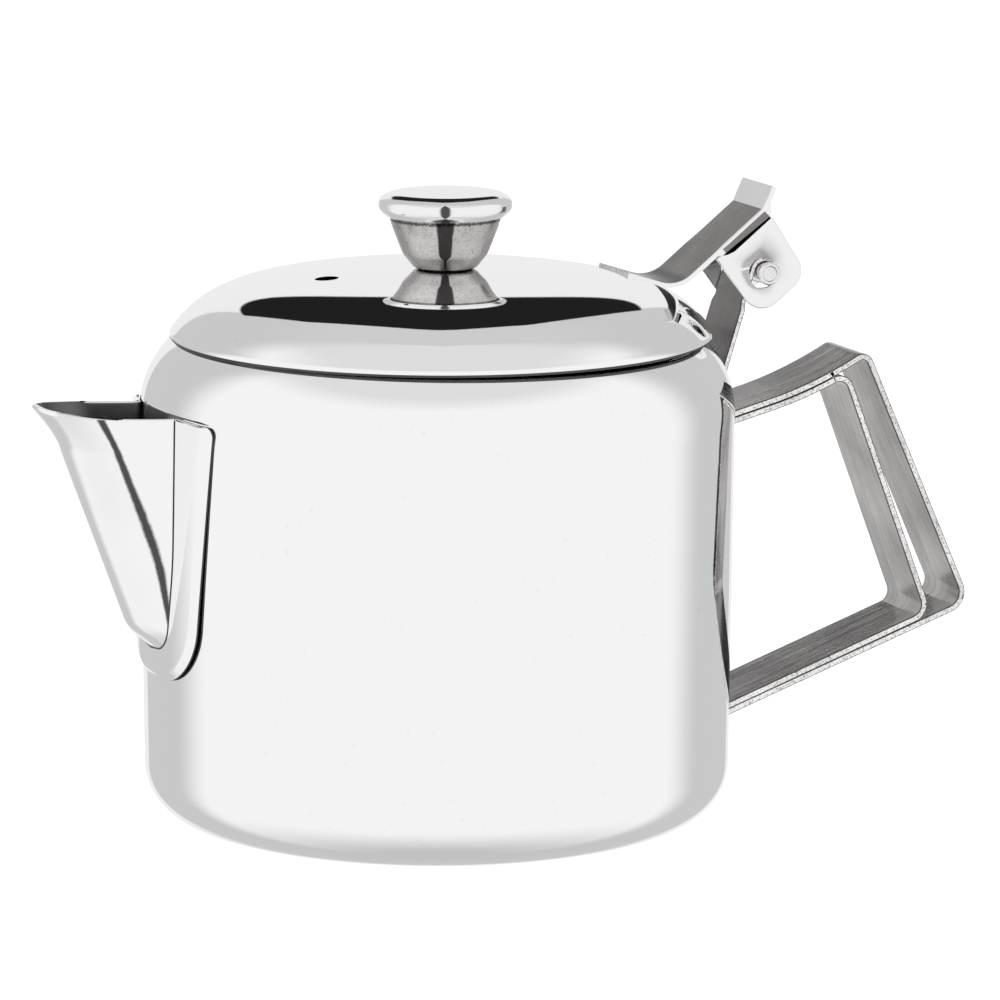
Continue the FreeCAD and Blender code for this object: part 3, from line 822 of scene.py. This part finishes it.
def spout_section(half, height, keel, nose):
    """Half of a level section of the channel, from the fold to the keel: a straight side and a round nose."""
    root = math.sqrt((RADIUS + SHEET) ** 2 - half ** 2)
    front = max(np.interp(height, keel[:, 0], keel[:, 1]), root + 0.01)
    centre = min(np.interp(height, nose[:, 0], nose[:, 1]), front - 0.5)
    reach = front - centre
    start = math.asin(np.clip((root - centre) / reach, 0, 0.999))
    bend = np.linspace(start, math.pi / 2, 80)
    lip = np.clip((height - LIP_FROM) / LIP_LENGTH, 0, 1)
    flare = (1.75 * lip ** 2 + 0.9 * lip) * np.sin(bend) ** 2
    line = np.column_stack([centre + reach * np.sin(bend) + flare, half * np.cos(bend) / math.cos(start)])
    if centre > root:
        line = np.vstack([[root, half], line])
    line = even(line, 400)
    length = lengths_along(line)[-1]
    return points_at(line, np.r_[0, np.linspace(min(FOLD_SHADE_STRIP, length / 3), length, CHANNEL_COLUMNS)])


def flange_row(edge, fold):
    """The flange's outer face from its thin edge to the fold, on the pot's wall."""
    width = np.linalg.norm(fold - edge)
    share = np.r_[np.linspace(0, 1 - FOLD_SHADE_STRIP / width, FLANGE_COLUMNS) ** 1.4, 1]
    across, lift = (edge + (fold - edge) * share[:, None]).T
    skin = RADIUS + THIN_EDGE + (SHEET - THIN_EDGE) * smooth_step(share * width / 1.3)
    return np.column_stack([np.sqrt(skin ** 2 - across ** 2), across, lift])


def spout_grid():
    """The spout's outer face, one row for each step along its edge and fold, from the toe to the mouth."""
    edges = even(rounded(FLANGE, 0.2), SPOUT_ROWS)[::-1]
    folds = even(rounded(CREASE, 0.2), SPOUT_ROWS)[::-1]
    keel = rounded(KEEL, 0.25)
    nose = rounded(NOSE, 0.25)
    rows = []
    for edge, fold in zip(edges, folds):
        flange = flange_row(edge, fold)
        section = spout_section(fold[0], fold[1], keel, nose)
        rise = np.clip((fold[1] - MOUTH_FROM) / MOUTH_LENGTH, 0, 1) ** 2
        out = np.clip((section[:, 0] - RADIUS) / MOUTH_RUN, 0, 1)
        lift = rise * (1.5 * out ** 1.3 + 0.9 * np.clip((section[:, 0] - 69.2) / 2.5, 0, 1) ** 2)
        channel = np.column_stack([section, fold[1] + lift])
        near = np.vstack([flange, channel[1:]]) * (-1, -1, 1)
        rows.append(np.vstack([near, near[:-1][::-1] * (1, -1, 1)]))
    return np.array(rows)


def outward_normals(grid):
    """Unit normals of a grid of points, away from the channel's inside."""
    outward = np.cross(np.gradient(grid, axis=1), np.gradient(grid, axis=0))
    outward /= np.linalg.norm(outward, axis=2)[..., None] + 1e-12
    return outward * np.sign(-outward[-1, grid.shape[1] // 2, 0])


def spout_back(grid, outward):
    """The inner face: a sheet's thickness behind the channel, and sunk into the pot's wall at the flange."""
    width = grid.shape[1]
    back = grid - outward * SHEET
    flange = np.r_[0:FLANGE_COLUMNS + 1, width - FLANGE_COLUMNS - 1:width]
    sunk = (RADIUS - FLANGE_SINK) / np.hypot(grid[..., 0], grid[..., 1])
    back[:, flange] = (grid * np.stack([sunk, sunk, np.ones_like(sunk)], axis=-1))[:, flange]
    back[0] = grid[0] - outward[0] * TOE_SHEET
    return back


def edge_ridge(grid, back, outward, border):
    """The rounded edge's middle, half way between the two faces and standing out a little."""
    ridge = []
    for i, j in border:
        away = grid[i, j] - grid[min(i, len(grid) - 3), j]
        away -= outward[i, j] * (away @ outward[i, j])
        ridge.append((grid[i, j] + back[i, j]) / 2 + away / (np.linalg.norm(away) + 1e-9) * EDGE_ROUND)
    return ridge


def spout_paint(column, width):
    """The material of the outer face's columns: plain on the flange, a strip of painted shade at the fold, and
    beyond it the steel with the painted reflection stripe.
    """
    column = min(column, width - 2 - column)
    if column in (FLANGE_COLUMNS - 1, FLANGE_COLUMNS):
        return 2
    return 3 if column < FLANGE_COLUMNS else 0


def make_spout():
    """The spout's sheet: its outer face, an inner face behind it, and a rounded edge round both."""
    grid = spout_grid()
    count, width = grid.shape[:2]
    outward = outward_normals(grid)
    back = spout_back(grid, outward)
    border = [(i, width - 1) for i in range(count)] + [(count - 1, j) for j in range(width - 2, -1, -1)]
    border += [(i, 0) for i in range(count - 2, -1, -1)]
    ridge = edge_ridge(grid, back, outward, border)
    vertices = np.vstack([grid.reshape(-1, 3), back.reshape(-1, 3), ridge])
    total = count * width
    faces = grid_faces(count, width)
    indices = [spout_paint(face[0] % width, width) for face in faces]
    faces += [tuple(total + k for k in reversed(face)) for face in faces]
    # The inner face gets the near-black steel as painted shade.
    indices += [1] * (len(faces) - len(indices))
    ring = [i * width + j for i, j in border]
    for k in range(len(ring) - 1):
        a, b, m, n = ring[k], ring[k + 1], 2 * total + k, 2 * total + k + 1
        faces += [(a, b, n, m), (m, n, total + b, total + a)]
        # Painted shade: the rounded edge is near-black along the flange's sides, while the whole top edge,
        # flange and mouth, keeps the spout's steel.
        rim = 0 if count - 1 <= k < count + width - 2 else 2
        indices += [rim, rim]
    obj = make_object("spout_sheet", vertices, faces, [SPOUT_STEEL, SHADED, PAINTED_SHADE_STEEL, MIRROR], indices)
    clean(obj, 60)
    finish_piece(obj, "pot", "mirror_steel", "spout")


# Studio --------------------------------------------------------------------------------------------------

def mixed(shader, share, first, second):
    """The first level where the share is nought, blended to the second where it is one."""
    return shader.node("ShaderNodeMix", {0: share, 2: first, 3: second}).outputs[0]


def make_world():
    """The tent round the pot, as its steel sees it.

    The sides are white and the ceiling grey. Behind the pot hang two greyer sheets with a white window
    between them, and over the window a black gap with a bowed top. The camera itself sees plain white.
    """
    world = bpy.data.worlds.new("studio")
    bpy.context.scene.world = world
    world.use_nodes = True
    s = Shader(world.node_tree)
    way = s.node("ShaderNodeTexCoord").outputs["Generated"]
    height, heading = s.heading(way)
    turn = s.math("ABSOLUTE", heading)
    sides = s.ramp(turn, 56, 80, 0.60, 0.94)
    ceiling = s.ramp(turn, 60, 85, 0.63, 0.75)
    table = 0.56
    level = mixed(s, s.ramp(height, 42, 62), sides, ceiling)
    level = mixed(s, s.ramp(height, -85, -28), table, level)
    squared = s.math("POWER", turn, 2.0)
    sill = s.math("MULTIPLY_ADD", squared, -0.020, height)
    bowed = s.math("MULTIPLY_ADD", squared, 0.029, height)
    window = s.times(s.ramp(heading, -23.0, -21.0), s.ramp(heading, 17.4, 18.6, 1.0, 0.0),
                     s.ramp(height, -40, -25), s.ramp(sill, 20.8, 21.8, 1.0, 0.0))
    level = mixed(s, window, level, 0.87)
    gap = s.times(s.ramp(heading, -25.6, -24.2), s.ramp(heading, 19.0, 20.2, 1.0, 0.0),
                  s.ramp(sill, 19.8, 20.6), s.ramp(bowed, 65.4, 66.6, 1.0, 0.0))
    level = mixed(s, gap, level, 0.014)
    light = s.node("ShaderNodeLightPath")
    level = mixed(s, light.outputs["Is Camera Ray"], level, 1.0)
    out = s.node("ShaderNodeBackground", {"Color": level, "Strength": 1.0}).outputs[0]
    s.node("ShaderNodeOutputWorld", {"Surface": out})


def make_floor():
    """A wide pale floor, bright enough to leave only a faint shadow where the pot stands."""
    size, cells = 16.0, 24
    steps = np.linspace(-size / 2, size / 2, cells + 1) / MM
    vertices = [(x, y, 0) for y in steps for x in steps]
    material = bpy.data.materials.new("floor_paper")
    material.use_nodes = True
    s = Shader(material.node_tree)
    place = s.node("ShaderNodeTexCoord").outputs["Object"]
    grain = s.noise(place, 60.0, 3.0, 0.5)
    shade = s.around(grain, 0.01, level=0.80)
    diffuse = s.node("ShaderNodeBsdfDiffuse", {"Color": shade}).outputs[0]
    glow = s.node("ShaderNodeEmission", {"Color": (1, 1, 1, 1), "Strength": 0.62}).outputs[0]
    both = s.node("ShaderNodeAddShader", {0: diffuse, 1: glow}).outputs[0]
    s.node("ShaderNodeOutputMaterial", {"Surface": both})
    floor = make_object("floor_sheet", vertices, grid_faces(cells + 1, cells + 1), [material])
    floor.visible_glossy = False


def make_camera():
    """A long lens from the pot's spout side and a little above its lid."""
    camera = bpy.data.cameras.new("camera")
    camera.sensor_width = 36.0
    camera.lens = 226.7
    camera.clip_end = 100
    obj = bpy.data.objects.new("camera", camera)
    bpy.context.scene.collection.objects.link(obj)
    azimuth, rise = math.radians(-21.13), math.radians(11.03)
    distance = 1.060
    swing, tilt, roll = math.radians(-0.574), math.radians(0.70), math.radians(0.09)
    target = Vector((0, 0, 0.040))
    away = Vector((math.sin(azimuth) * math.cos(rise), -math.cos(azimuth) * math.cos(rise), math.sin(rise)))
    obj.location = target + away * distance
    aim = (-away).to_track_quat("-Z", "Y").to_matrix().to_4x4()
    for angle, axis in ((swing, "Y"), (tilt, "X"), (roll, "Z")):
        aim = aim @ Matrix.Rotation(angle, 4, axis)
    obj.rotation_euler = aim.to_euler()
    bpy.context.scene.camera = obj


make_pot()
make_lid()
make_knob()
make_pin()
make_bracket()
make_lever()
make_handle()
make_spout()
make_world()
make_floor()
make_camera()
bpy.context.scene.view_settings.view_transform = "Standard"
bpy.context.view_layer.update()
